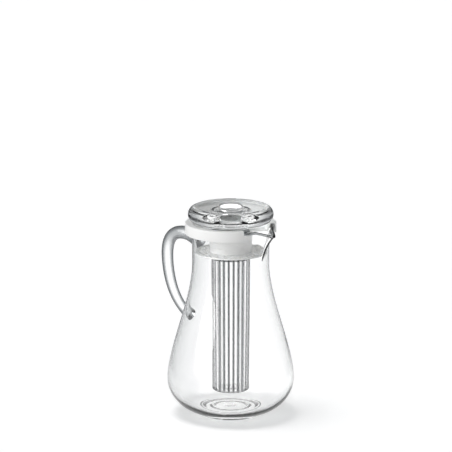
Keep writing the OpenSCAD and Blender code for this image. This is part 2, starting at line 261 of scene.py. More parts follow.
def carve(obj: Piece, tool: Piece, side: Side) -> None:
    """Cuts a tool out of a piece, or joins it on, and deletes the tool.

    Args:
        obj: the piece.
        tool: the closed shape that cuts or joins.
        side: cut or join.
    """
    pick(obj)
    bpy.ops.object.modifier_add(type="BOOLEAN")
    modifier = obj.modifiers[-1]
    modifier.operation = side.value
    modifier.solver = "EXACT"
    modifier.object = tool
    bpy.ops.object.modifier_apply(modifier=modifier.name)
    bpy.data.objects.remove(tool)


def smooth(obj: Piece, angle: float) -> None:
    """Shades a piece smooth, apart from edges sharper than an angle in degrees."""
    pick(obj)
    bpy.ops.object.shade_smooth_by_angle(angle=math.radians(angle))


def coat(obj: Piece, *finishes: Material) -> None:
    """Gives a piece its finishes, in the order of their numbers, in place of any that it has."""
    obj.data.materials.clear()
    for finish in finishes:
        obj.data.materials.append(finish)


def silicone_ring(name: str, seat: str, radii: Point, rounding: float, finish: Material) -> Piece:
    """Turns a silicone ring from the bottom of a construction node to its top.

    Args:
        name: the new object's name.
        seat: the construction node.
        radii: the ring's inner and outer radius.
        rounding: how far from a corner its rounding starts.
        finish: the silicone's material.

    Returns:
        The ring.
    """
    low, high = level(seat, False), level(seat, True)
    outline = [(radii[0], low), (radii[1], low), (radii[1], high), (radii[0], high)]
    ring = lathe(name, softened(outline, rounding, True, 4), 128, closed=True)
    smooth(ring, 40)
    coat(ring, finish)
    return ring


def wave(phase: np.ndarray) -> np.ndarray:
    """Returns a moulded thread's rounded ridge, 0 to 1, over a phase of one ridge."""
    return np.clip(1.5 * np.sin(math.pi * phase) ** 2 - 0.25, 0, 1)


@dataclass(frozen=True)
class Thread:
    """A screw thread on the outside of a neck, in millimetres."""

    root: float
    height: float
    pitch: float
    starts: int
    low: float
    high: float
    # How far a point on the neck's skin may lie from the root
    skin: float = 0.06

    def cut(self, r: np.ndarray, a: np.ndarray, z: np.ndarray) -> np.ndarray:
        """Raises the thread.

        Args:
            r: radii.
            a: angles.
            z: heights.

        Returns:
            The radii with the ridges on them.
        """
        on = (r > self.root - self.skin) & (r < self.root + self.skin) & (z > self.low) & (z < self.high)
        phase = ((z - self.low) / self.pitch - self.starts * a / TURN) % 1
        fade = np.clip((z - self.low) / self.pitch, 0, 1)
        fade *= np.clip((self.high - z) / self.pitch * 2, 0, 1)
        return np.where(on, r + self.height * wave(phase) * fade, r)


# Finishes


def linear(code: str) -> tuple[float, float, float, float]:
    """Returns a linear colour for an sRGB hex code such as #F2F1EC."""
    parts = [int(code[i : i + 2], 16) / 255 for i in (1, 3, 5)]
    r, g, b = (c / 12.92 if c <= 0.04045 else ((c + 0.055) / 1.055) ** 2.4 for c in parts)
    return (r, g, b, 1.0)


def node(tree: Tree, kind: str, sockets: dict[Any, Any] | None = None, **settings: Any) -> Node:
    """Adds a node.

    Args:
        tree: the tree it goes into.
        kind: the node's type, after its common start.
        sockets: for each input's name or number, a value, the output that feeds it, or the node
            whose first output in use feeds it.
        settings: the node's own settings.

    Returns:
        The node.
    """
    made = tree.nodes.new(f"ShaderNode{kind}")
    for name, value in settings.items():
        setattr(made, name, value)
    for key, value in (sockets or {}).items():
        if isinstance(value, Node):
            value = next(output for output in value.outputs if output.enabled)
        if isinstance(value, Socket):
            tree.links.new(value, made.inputs[key])
        else:
            made.inputs[key].default_value = value
    return made


def blank(name: str) -> tuple[Material, Tree]:
    """Returns a new material with an empty tree."""
    material = bpy.data.materials.new(name)
    material.use_nodes = True
    material.node_tree.nodes.clear()
    return material, material.node_tree


@dataclass(frozen=True)
class PaintedRidgeShade:
    """Painted shade: dark lines along the moulded ridges round a clear piece, where their steep flanks lie."""

    # How many ridges, each with its painted line, are passed along a millimetre of height, and round a whole
    # turn
    along: float
    around: float
    # Heights that they lie between, in millimetres
    low: float
    high: float
    # Half width of a painted dark line's core and of its soft flank, as shares of the pitch, and how grey the
    # line is painted
    core: float
    flank: float
    grey: float

    def painted_shade(self, tree: Tree, place: Socket) -> Node:
        """Paints the dark lines of shade along the ridges.

        Args:
            tree: the material's tree.
            place: the place on the piece.

        Returns:
            How much shade is painted there, 0 to 1.
        """
        split = node(tree, "SeparateXYZ", {0: place}).outputs
        turn = node(tree, "Math", {0: split["Y"], 1: split["X"]}, operation="ARCTAN2")
        turn = node(tree, "Math", {0: turn, 1: self.around / TURN}, operation="MULTIPLY")
        phase = node(tree, "Math", {0: split["Z"], 1: self.along / MM, 2: turn}, operation="MULTIPLY_ADD")
        away = node(tree, "Math", {0: phase, 1: 0.5}, operation="PINGPONG")
        dark = node(
            tree, "MapRange",
            {"Value": away, "From Min": self.flank, "From Max": self.core, "To Max": self.grey},
            interpolation_type="SMOOTHSTEP",
        )
        for z, test in ((self.low, "GREATER_THAN"), (self.high, "LESS_THAN")):
            inside = node(tree, "Math", {0: split["Z"], 1: z * MM}, operation=test)
            dark = node(tree, "Math", {0: dark, 1: inside}, operation="MULTIPLY")
        return dark


@dataclass(frozen=True)
class ClearFinish:
    """A clear solid: blown glass, cast acrylic or moulded clear plastic.

    Its skin wavers a little, as the way it was made leaves it. Its faces are painted greyer the
    more aslant they are seen: painted shade that stands partly for the long way that light takes
    through its edges and partly for the dark that they refract and mirror.
    """

    name: str
    # Its painted shade along how aslant a face is seen, from 0, square on, to 1
    painted_shades: tuple[tuple[float, str], ...]
    ior: float
    roughness: float
    # Length of the skin's slow waves, and their height, in millimetres
    wave_mm: float
    wave_height: float
    # Width of the fine marks of wiping and handling, in millimetres
    mark_mm: float
    # How much of a lamp's light goes through to what lies behind
    passes: str
    # Where in the marks' noise a mark starts and is full, and how much rougher it is
    mark_edge: Point = (0.55, 0.85)
    mark_rough: float = 0.03
    # How much of a lamp's light goes through where it strikes at a slant
    slant: str = "#8E9294"
    # How much less level faces take the painted shade
    level_share: float = 0.0
    # How aslant the painted dark outline of level faces starts and is full, and how much shade it paints
    outline: Point = (0.84, 0.97)
    painted_outline_grey: float = 0.8
    # The way, in the part's own frame, whose side takes a darker painted shade, how near to it that
    # starts and is full, and how much darker it is
    painted_shade_way: Way = (-0.81, -0.59, 0)
    painted_shade_edge: Point = (0.1, 0.6)
    painted_shade_depth: float = 0.0
    # Whether only faces that look away from the axis take the painted shade
    outside_only: bool = True
    # Painted dark lines along the piece's moulded ridges
    ridges: tuple[PaintedRidgeShade, ...] = ()

    def build(self) -> Material:
        """Returns the finish as a material."""
        material, tree = blank(self.name)
        coords = node(tree, "TexCoord").outputs
        place, normal = coords["Object"], coords["Normal"]
        slow, marks = (
            node(
                tree, "TexNoise",
                {"Vector": place, "Scale": 1 / (size * MM), "Detail": detail, "Roughness": rough},
            )
            for size, detail, rough in ((self.wave_mm, 1.0, 0.4), (self.mark_mm, 4.0, 0.6))
        )
        bump = node(tree, "Bump", {"Height": slow, "Strength": 1.0, "Distance": self.wave_height * MM})
        rough = node(
            tree, "MapRange",
            {"Value": marks, "From Min": self.mark_edge[0], "From Max": self.mark_edge[1],
             "To Min": self.roughness, "To Max": self.roughness + self.mark_rough},
        )
        # Painted shade: the more aslant a face is seen, the darker the ramp below paints it
        facing = node(tree, "LayerWeight", {"Blend": 0.5}).outputs["Facing"]
        upright = node(tree, "SeparateXYZ", {0: normal}).outputs["Z"]
        flat = node(tree, "Math", {0: upright, 1: upright}, operation="MULTIPLY")
        keep = node(tree, "Math", {0: flat, 1: -self.level_share, 2: 1.0}, operation="MULTIPLY_ADD")
        rim = node(tree, "Math", {0: facing, 1: keep}, operation="MULTIPLY")
        # Painted shade, darker on one side of the part, standing for a dark side of the room
        if self.painted_shade_depth:
            side = node(tree, "VectorMath", {0: normal, 1: self.painted_shade_way}, operation="DOT_PRODUCT")
            power = node(
                tree, "MapRange",
                {"Value": side, "From Min": self.painted_shade_edge[0], "From Max": self.painted_shade_edge[1],
                 "To Min": 1.0, "To Max": 1.0 - self.painted_shade_depth},
            )
            rim = node(tree, "Math", {0: rim, 1: power}, operation="POWER")
        # A painted dark outline where faces are seen most aslant
        outline = node(
            tree, "MapRange",
            {"Value": facing, "From Min": self.outline[0], "From Max": self.outline[1],
             "To Max": self.painted_outline_grey},
            interpolation_type="SMOOTHSTEP",
        )
        for dark in (outline, *(ridges.painted_shade(tree, place) for ridges in self.ridges)):
            rim = node(tree, "Math", {0: rim, 1: dark}, operation="MAXIMUM")
        if self.outside_only:
            out = node(tree, "VectorMath", {0: place, 1: (1, 1, 0)}, operation="MULTIPLY")
            out = node(tree, "VectorMath", {0: out, 1: normal}, operation="DOT_PRODUCT")
            out = node(tree, "Math", {0: out, 1: 0.0}, operation="GREATER_THAN")
            rim = node(tree, "Math", {0: rim, 1: out}, operation="MULTIPLY")
        # The ramp turns the painted shade into the glass's colour
        tint = node(tree, "ValToRGB", {"Fac": rim})
        stops = tint.color_ramp.elements
        for i, (at, code) in enumerate(self.painted_shades):
            stop = stops[i] if i < len(stops) else stops.new(at)
            stop.position, stop.color = at, linear(code)
        body = node(
            tree, "BsdfPrincipled",
            {"Base Color": tint, "Roughness": rough,
             "IOR": self.ior, "Transmission Weight": 1.0, "Normal": bump},
        )
        shade = node(
            tree, "Mix",
            {"Factor": rim, "A": linear(self.passes), "B": linear(self.slant)}, data_type="RGBA",
        )
        through = node(tree, "BsdfTransparent", {"Color": shade})
        lamp = node(tree, "LightPath").outputs["Is Shadow Ray"]
        shown = node(tree, "MixShader", {0: lamp, 1: body, 2: through})
        node(tree, "OutputMaterial", {"Surface": shown})
        return material


@dataclass(frozen=True)
class MouldedFinish:
    """A white or milky plastic as it leaves the mould: satin, with a fine spark-eroded grain."""

    name: str
    # The tint and the deeper tint that the flow of the moulding wavers between
    colour: str
    shade: str
    roughness: float
    # Width and height of the mould's grain, and width of the flow, in millimetres
    grain_mm: float
    grain_height: float
    flow_mm: float
    grain_strength: float = 0.6
    # Where in the flow's noise the skin starts to roughen and ends, and by how much
    flow_edge: Point = (0.3, 0.7)
    flow_rough: Point = (-0.04, 0.05)
    # How much light spreads inside, how far in millimetres, and how far each colour goes
    glow: float = 0.0
    glow_mm: float = 1.0
    glow_reach: Way = (1.0, 0.95, 0.85)
    clear: float = 0.0
    ior: float = 1.46

    def build(self) -> Material:
        """Returns the finish as a material."""
        material, tree = blank(self.name)
        place = node(tree, "TexCoord").outputs["Object"]
        grain, flow = (
            node(
                tree, "TexNoise",
                {"Vector": place, "Scale": 1 / (size * MM), "Detail": detail, "Roughness": rough},
            )
            for size, detail, rough in ((self.grain_mm, 3.0, 0.65), (self.flow_mm, 2.0, 0.5))
        )
        bump = node(
            tree, "Bump",
            {"Height": grain, "Strength": self.grain_strength, "Distance": self.grain_height * MM},
        )
        tint = node(
            tree, "Mix", {"Factor": flow, "A": linear(self.colour), "B": linear(self.shade)},
            data_type="RGBA",
        )
        rough = node(
            tree, "MapRange",
            {"Value": flow, "From Min": self.flow_edge[0], "From Max": self.flow_edge[1],
             "To Min": self.roughness + self.flow_rough[0], "To Max": self.roughness + self.flow_rough[1]},
        )
        body = node(
            tree, "BsdfPrincipled",
            {"Base Color": tint, "Roughness": rough,
             "Subsurface Weight": self.glow, "Subsurface Scale": self.glow_mm * MM,
             "Subsurface Radius": self.glow_reach, "Transmission Weight": self.clear,
             "IOR": self.ior, "Normal": bump},
        )
        node(tree, "OutputMaterial", {"Surface": body})
        return material


# Borosilicate glass, blown and fire-polished: slow waves in the skin and no grain, painted shade on aslant
# faces, darker on the handle's side
JUG_GLASS = ClearFinish(
    name="blown_borosilicate_glass", ior=1.47, roughness=0.0,
    painted_shades=((0.0, "#FFFFFF"), (0.2, "#FAFAFA"), (0.32, "#F2F2F3"), (0.5, "#E8E9E9"), (0.68, "#D5D7D7"),
            (0.82, "#B9BBBC"), (0.92, "#76797B"), (1.0, "#3A3D3F")),
    wave_mm=38, wave_height=0.25, mark_mm=9, passes="#D6D8D8", level_share=1.0, painted_outline_grey=0.5, painted_shade_depth=0.5,
)
# The same glass drawn into a rod, with painted shade towards its sides: partly for the light that it takes up
# there and partly for the dark that it refracts
ROD_GLASS = ClearFinish(
    name="drawn_borosilicate_rod", ior=1.47, roughness=0.0,
    painted_shades=((0.0, "#FFFFFF"), (0.04, "#F6F6F6"), (0.1, "#D6D8D9"), (0.19, "#999C9E"), (0.34, "#606365"),
            (0.6, "#3C3F41"), (1.0, "#2C2E30")),
    wave_mm=30, wave_height=0.2, mark_mm=9, passes="#DDDFDF", outside_only=False,
)
# The same glass rolled over and fire-polished at the rim, painted darker all over: painted shade that draws so
# thin a bead as one dark line
RIM_PAINTED_SHADE_GLASS = replace(
    ROD_GLASS, name="rolled_borosilicate_bead_painted_shade",
    painted_shades=((0.0, "#DADCDC"), (0.05, "#B4B6B8"), (0.12, "#85888A"), (0.25, "#5C5F61"), (0.5, "#3A3D3F"),
            (1.0, "#242628")),
)
# Cast acrylic, turned and flame-polished: very clear, with a slightly softer skin, painted shade in dark
# crescents at aslant faces and in dark lines along the plug's thread
KNOB_ACRYLIC = ClearFinish(
    name="cast_polished_acrylic", ior=1.49, roughness=0.0,
    painted_shades=((0.0, "#FCFCFC"), (0.12, "#EEEFEF"), (0.24, "#C4C7C7"), (0.36, "#8A8D8F"), (0.5, "#6E7173"),
            (0.65, "#85888A"), (0.8, "#B2B4B5"), (1.0, "#D2D4D4")),
    wave_mm=30, wave_height=0.1, mark_mm=7, passes="#E6E8E8", level_share=0.9, painted_outline_grey=0.3,
    ridges=(PaintedRidgeShade(along=1 / 3, around=-3, low=209.0, high=228.5, core=0.12, flank=0.30, grey=0.52),),
)
# Moulded styrene copolymer: clear, with faint flow waves along its length, painted shade in dark bands near
# its outline and dark lines along its flutes
CORE_PLASTIC = ClearFinish(
    name="moulded_clear_styrene", ior=1.50, roughness=0.0,
    painted_shades=((0.0, "#FFFFFF"), (0.24, "#F6F6F6"), (0.36, "#C2C4C4"), (0.46, "#54575A"), (0.58, "#64676A"),
            (0.72, "#7E8183"), (0.88, "#56595B"), (0.95, "#3C3F41"), (1.0, "#242628")),
    wave_mm=16, wave_height=0.12, mark_mm=5, passes="#E6E8E8", level_share=1.0,
    ridges=(PaintedRidgeShade(along=0, around=24, low=30.5, high=196.0, core=0.07, flank=0.24, grey=0.93),),
)
# Polypropylene, injection moulded in white: satin, and it glows a little at thin edges
LID_PLASTIC = MouldedFinish(
    name="moulded_white_polypropylene", colour="#F0F0EF", shade="#EAEAE9", roughness=0.38,
    grain_mm=0.6, grain_height=0.02, flow_mm=26, glow=0.12, glow_mm=1.6,
)
# Silicone rubber, compression moulded: milky and matt
SEAL_SILICONE = MouldedFinish(
    name="milky_silicone_rubber", colour="#E3E7E8", shade="#D6DBDD", roughness=0.5,
    grain_mm=0.4, grain_height=0.02, flow_mm=8, glow=0.2, glow_mm=1.2, clear=0.45,
)


# Sub-assemblies


@dataclass
class Jug:
    """The glass jug with its pulled spout and welded handle."""

    height: float = 235.0
    belly_d: float = 153.97
    belly_z: float = 45.0
    neck_d: float = 92.6
    neck_z: float = 188.0
    mouth_d: float = 104.0
    foot_d: float = 73.0
    foot_w: float = 4.0
    foot_round: float = 1.6
    glass_t: float = 2.3
    base_t: float = 4.0
    # The hollow under the foot and the ring of glass that hangs in it: where the ring lies, as
    # a share of the foot's width, its half width, how far it hangs, and how much higher the
    # hollow is in its middle and at the ring's inner and outer edge
    punt_h: float = 2.6
    ring_share: float = 0.3
    ring_half: float = 4.0
    ring_h: float = 1.6
    ring_rises: Way = (0.5, 0.4, 0.3)
    # The low boss that the pontil leaves in the middle of the floor
    pontil_r: float = 6.0
    pontil_h: float = 2.0
    bead_d: float = 3.4
    # How far from the wall the bead's arc stops, in degrees, and how much of the bead's height
    # takes its own finish, with its darker painted shade
    bead_stop: float = 8.0
    bead_share: float = 0.9
    spout_reach: float = 15.0
    spout_drop: float = 6.0
    spout_angle: float = 39.0
    spout_depth: float = 43.0
    # How the beak runs out towards the rim, and how softly it leaves the wall, in millimetres
    spout_bend: float = 1.25
    spout_soft: float = 2.2
    # How blunt the keel is, how far round the beak goes, and where the pull starts to fade
    # and ends, in degrees
    keel_blunt: float = 2.2
    spout_wide: float = 45.0
    spout_fade: Point = (46.0, 60.0)
    rod_d: float = 17.6
    rod_tip_d: float = 11.0
    handle_reach: float = 102.62
    handle_top_z: float = 208.6
    handle_low_z: float = 113.6
    base_round: Point = (0.61, 0.955)
    pulls: Point = (0.245, 0.31)
    flare: tuple[float, float, float] = (0.36, 0.62, 0.9)
    flare_in: float = 0.42
    handle_shares: tuple[Point, ...] = (
        (0, 1), (0.307, 1.087), (1.059, 1.167), (1.034, 0.736), (1.014, 0.393), (0.743, 0.088), (0.30, 0),
    )
    # The stretch of the rod that swells at each weld, by how much, and how far over the neck's
    # narrowest place the wall is that cuts the rod off
    weld_share: float = 0.16
    weld_swell: float = 0.32
    weld_over: float = 30.0
    columns: int = 208
    # How far the columns crowd towards the spout
    crowd: float = 0.5

    @property
    def rim_arc_z(self) -> float:
        """Height of the bead's centre."""
        return self.height - self.bead_d / 2

    @property
    def lip_r(self) -> float:
        """Radius of the bead's centre line."""
        return self.mouth_d / 2 - self.bead_d / 2

    def side(self, wall: float) -> Outline:
        """Returns the belly, shoulder and neck, drawn in by a wall, from the belly up."""
        low = (self.belly_d / 2 - wall, self.belly_z)
        high = (self.neck_d / 2 - wall, self.neck_z)
        rise = self.neck_z - self.belly_z
        above = self.rim_arc_z - self.neck_z
        end = self.lip_r + self.glass_t / 2 - wall
        first, second, third = (self.neck_z + above * share for share in self.flare)
        shoulder = cubic(
            (low, (low[0], low[1] + rise * self.pulls[0]), (high[0], high[1] - rise * self.pulls[1]), high), 44
        )
        throat = cubic(
            ((high[0], first), (high[0], second), (high[0] + (end - high[0]) * self.flare_in, third),
             (end, self.rim_arc_z)), 18,
        )
        return divided(shoulder + throat, 3.5)

    def outline(self) -> Outline:
        """Returns the whole wall, from the axis under the foot, over the rim, to the floor's centre."""
        radii = (self.belly_d / 2 * self.base_round[0], self.belly_z * self.base_round[1])
        centre = (self.belly_d / 2 - radii[0], self.belly_z)
        foot_r, hollow = self.foot_d / 2, self.punt_h
        turn = -math.degrees(math.acos((foot_r + self.foot_w / 2 - centre[0]) / radii[0]))
        base = arc(centre, radii, turn, 0, 26)
        ring_r = self.foot_d * self.ring_share
        middle, inner, outer = (hollow + rise for rise in self.ring_rises)
        under = softened([
            (0, middle), (ring_r - self.ring_half, inner), (ring_r, hollow - self.ring_h),
            (ring_r + self.ring_half, outer), (foot_r - self.foot_w * 1.4, hollow),
            (foot_r - self.foot_w / 2, 0), (foot_r + self.foot_w / 4, 0), base[0],
        ], self.foot_round, False, 4)
        floor_z = hollow + self.base_t
        inside = arc(centre, (radii[0] - self.glass_t, self.belly_z - floor_z), 0, -90, 30)
        floor = [
            (r, floor_z + self.pontil_h * math.exp(-((r / self.pontil_r) ** 2)))
            for r in centre[0] * np.linspace(0.95, 0, 26)
        ]
        reach = math.degrees(math.asin(self.glass_t / self.bead_d)) + self.bead_stop
        bead = arc((self.lip_r, self.rim_arc_z), (self.bead_d / 2,) * 2, reach - 90, 270 - reach, 14)
        wall = base[1:] + self.side(0)[1:-2] + bead + self.side(self.glass_t)[-3:0:-1] + inside
        return under + wall + floor

    def pulled(self, r: np.ndarray, a: np.ndarray, z: np.ndarray) -> Places:
        """Pulls the spout out of the rim, as a glassblower does, and crowds the columns there.

        Args:
            r: radii.
            a: angles.
            z: heights.

        Returns:
            The pulled radii, angles and heights.
        """
        a = a - self.crowd * np.sin(a)
        side = np.array(self.side(self.glass_t / 2))
        middle = np.interp(z, side[:, 1], side[:, 0])
        keel_z = self.height - self.spout_depth
        keel_r = float(np.interp(keel_z, side[:, 1], side[:, 0]))
        s = np.clip((z - keel_z) / (self.rim_arc_z - keel_z), 0.0, 1.0)
        least = 0.01
        fade_start, fade_end = (math.radians(angle) for angle in self.spout_fade)
        past = fade_end + math.radians(2)
        on = (s > least) & (np.abs(a) < past) & (r > self.neck_d / 2 - 3 * self.glass_t)
        wide, blunt = math.radians(self.spout_wide), math.radians(self.keel_blunt)
        turn = np.sqrt(np.minimum(np.abs(a), wide) ** 2 + blunt**2)
        edge = math.radians(self.spout_angle / 2) * np.maximum(s, least)
        tip = keel_r + (self.lip_r + self.spout_reach - keel_r) * s**self.spout_bend
        bx, by = middle * np.cos(edge), middle * np.sin(edge)
        beak = tip * by / (np.cos(turn) * by + np.sin(turn) * (tip - bx))
        near = tip * by / np.hypot(by, tip - bx)
        soft = self.spout_soft * np.clip(s * 4, 0, 1)
        gap = np.sqrt((beak - middle) ** 2 + soft**2)
        out = (middle + beak + gap) / 2
        share = (1 + (beak - middle) / np.maximum(gap, 1e-6)) / 2
        stretch = 1 + (beak / near - 1) * share
        fade = np.clip((fade_end - np.abs(a)) / (fade_end - fade_start), 0, 1)
        out = middle + (out - middle) * fade
        dip = self.spout_drop * s**3 * np.clip(1 - np.abs(out * np.sin(a)) / np.maximum(by, 1e-6), 0, 1)
        moved = out + (r - middle) * stretch
        return np.where(on, moved, r), a, np.where(on, z - dip, z)

    def handle(self) -> Piece:
        """Returns the handle: a drawn rod, bent in two curves, swelling where it is welded on."""
        rod_in, rod_out = self.neck_d / 2, self.handle_reach - self.rod_d / 2
        side = np.array(self.side(self.glass_t / 2))
        pulls = [
            (rod_in + (rod_out - rod_in) * u, self.handle_low_z + (self.handle_top_z - self.handle_low_z) * v)
            for u, v in self.handle_shares
        ]
        for i, z in ((0, self.handle_top_z), (6, self.handle_low_z)):
            pulls[i] = (float(np.interp(z, side[:, 1], side[:, 0])), z)
        path = cubic(tuple(pulls[:4]), 34) + cubic(tuple(pulls[3:]), 34)[1:]
        bpy.ops.object.select_all(action="DESELECT")
        bpy.ops.curve.primitive_nurbs_path_add()
        rod = active()
        rod.name = "handle_rod"
        rod.data.splines.clear()
        spline = rod.data.splines.new("POLY")
        spline.points.add(len(path) - 1)
        for i, (r, z) in enumerate(path):
            s = i / (len(path) - 1)
            near = min(s, 1 - s) / self.weld_share
            swell = 1 + self.weld_swell * (1 - near) ** 2 if near < 1 else 1.0
            spline.points[i].co = (-r * MM, 0, z * MM, 1)
            spline.points[i].radius = (self.rod_d + (self.rod_tip_d - self.rod_d) * s) / 2 * swell
        rod.data.bevel_depth = MM
        rod.data.bevel_resolution = 10
        rod.data.use_fill_caps = True
        bpy.ops.object.convert(target="MESH")
        return active()

    def build(self) -> Piece:
        """Returns the glass: wall, spout and handle as one mesh."""
        finishes = [finish.build() for finish in (JUG_GLASS, ROD_GLASS, RIM_PAINTED_SHADE_GLASS)]
        glass = lathe("jug_glass", self.outline(), self.columns)
        bead_z = (self.height - self.bead_d * self.bead_share) * MM
        # The bead's faces take the glass with the darker painted shade
        numbers = [BEAD if face.center.z > bead_z else WALL for face in glass.data.polygons]
        press(glass, self.pulled)
        handle = self.handle()
        middle = [p for p in self.side(self.glass_t / 2) if p[1] < self.neck_z + self.weld_over]
        inside = lathe("weld_tool", [(0, middle[0][1])] + middle + [(0, middle[-1][1])], 96)
        carve(handle, inside, Side.DIFFERENCE)
        for piece in (glass, handle):
            coat(piece, *finishes)
        glass.data.polygons.foreach_set("material_index", numbers)
        handle.data.polygons.foreach_set("material_index", [ROD] * len(handle.data.polygons))
        carve(glass, handle, Side.UNION)
        smooth(glass, 40)
        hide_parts("jug_body", "jug_handle")
        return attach(glass, "jug")


@dataclass
class Lid:
    """The white lid with its dish, hub and pouring notch, and the strainer that snaps into it."""

    skirt_r: float = 55.0
    wall: float = 2.0
    skirt_h: float = 13.0
    dish_depth: float = 9.8
    dish_foot_r: float = 45.1
    dish_lip_r: float = 47.6
    # Breadth of the dish's leaning wall on the level, as a share of the wall
    lean_share: float = 0.85
    edge_round: float = 0.8
    notch_angle: float = 75.0
    bore_r: float = 23.8
    hub_r: float = 26.0
    # The step in the hub's side: its depth, its place up the hub and its slope
    hub_step: float = 0.44
    step_share: float = 0.35
    step_rise: float = 0.35
    spigot_r: float = 24.8
    # The play between the spigot and its seat
    play: float = 0.1
    plate_r: float = 43.4
    plate_t: float = 1.8
    plate_round: float = 0.45
    collar_r: float = 25.2
    # The shoulder in the collar's bore, from the plate's underside up
    collar_step: Point = (4.5, 5.0)
    core_bore_r: float = 22.85
    hole_n: int = 24
    wide_hole_d: float = 6.4
    small_hole_d: float = 3.6
    wide_ring_r: float = 37.3
    small_ring_r: float = 30.6
    columns: int = 192
    top_z: float = field(default_factory=lambda: level("lid_cover", True))
    hub_low_z: float = field(default_factory=lambda: level("lid_cover", False))
    plate_low_z: float = field(default_factory=lambda: level("strainer", False))
    spigot_z: float = field(default_factory=lambda: level("strainer", True))

    def cover(self) -> Piece:
        """Returns the lid's moulding."""
        top, wall, foot = self.top_z, self.wall, self.top_z - self.skirt_h
        dish, lean = top - self.dish_depth, wall * self.lean_share
        low, under = self.hub_low_z, dish - wall
        seat_r, seat_z = self.spigot_r + self.play / 2, self.spigot_z + self.play
        step_r, step_z = self.hub_r - self.hub_step, low + (under - low) * self.step_share
        outline = [
            (self.bore_r, seat_z), (seat_r, seat_z), (seat_r, low), (step_r, low), (step_r, step_z),
            (self.hub_r, step_z + self.step_rise), (self.hub_r, under), (self.dish_foot_r, under),
            (self.dish_lip_r, top - wall), (self.skirt_r - wall, top - wall),
            (self.skirt_r - wall, foot), (self.skirt_r, foot), (self.skirt_r, top),
            (self.dish_lip_r - lean, top), (self.dish_foot_r - lean, dish), (self.bore_r, dish),
        ]
        lid = lathe("lid_moulding", softened(outline, self.edge_round, True, 4), self.columns, closed=True)
        near, far = self.hub_r + 0.02, self.skirt_r + 3
        notch = [(near, foot - 2), (far, foot - 2), (far, top + 2), (near, top + 2)]
        half = math.radians(self.notch_angle / 2)
        sector = lathe("notch_tool", softened(notch, 0.01, True, 1), 40, 2 * half, True)
        press(sector, lambda r, a, z: (r, a + half, z))
        carve(lid, sector, Side.DIFFERENCE)
        smooth(lid, 32)
        coat(lid, LID_PLASTIC.build())
        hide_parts("lid_cover")
        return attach(lid, "lid")

    def hole_tool(self) -> Piece:
        """Returns the pins that punch the plate's two rings of holes, as one object."""
        pins = []
        for ring_r, size, turn in (
            (self.wide_ring_r, self.wide_hole_d, 0.0), (self.small_ring_r, self.small_hole_d, 0.5),
        ):
            for i in range(self.hole_n):
                a = TURN * (i + turn) / self.hole_n
                bpy.ops.object.select_all(action="DESELECT")
                bpy.ops.mesh.primitive_cylinder_add(
                    vertices=28, radius=size / 2 * MM, depth=4 * self.plate_t * MM,
                    location=(ring_r * math.cos(a) * MM, ring_r * math.sin(a) * MM,
                              (self.plate_low_z + self.plate_t / 2) * MM),
                )
                pins.append(active())
        bpy.ops.object.select_all(action="DESELECT")
        for pin in pins:
            pin.select_set(True)
        bpy.ops.object.join()
        bpy.ops.object.transform_apply(location=True, rotation=True, scale=True)
        return active()

    def strainer(self, finish: Material) -> Piece:
        """Returns the perforated plate with its collar.

        Args:
            finish: the lid's own material.

        Returns:
            The strainer.
        """
        low, high = self.plate_low_z, self.plate_low_z + self.plate_t
        seat_z = self.hub_low_z - self.play
        outline = [
            (self.core_bore_r, low), (self.plate_r, low), (self.plate_r, high), (self.collar_r, high),
            (self.collar_r, seat_z), (self.spigot_r, seat_z), (self.spigot_r, self.spigot_z),
            (self.bore_r, self.spigot_z), (self.bore_r, low + self.collar_step[1]),
            (self.core_bore_r, low + self.collar_step[0]),
        ]
        plate = lathe(
            "strainer_plate", softened(outline, self.plate_round, True, 3), self.columns, closed=True
        )
        carve(plate, self.hole_tool(), Side.DIFFERENCE)
        smooth(plate, 32)
        coat(plate, finish)
        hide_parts("strainer")
        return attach(plate, "lid")


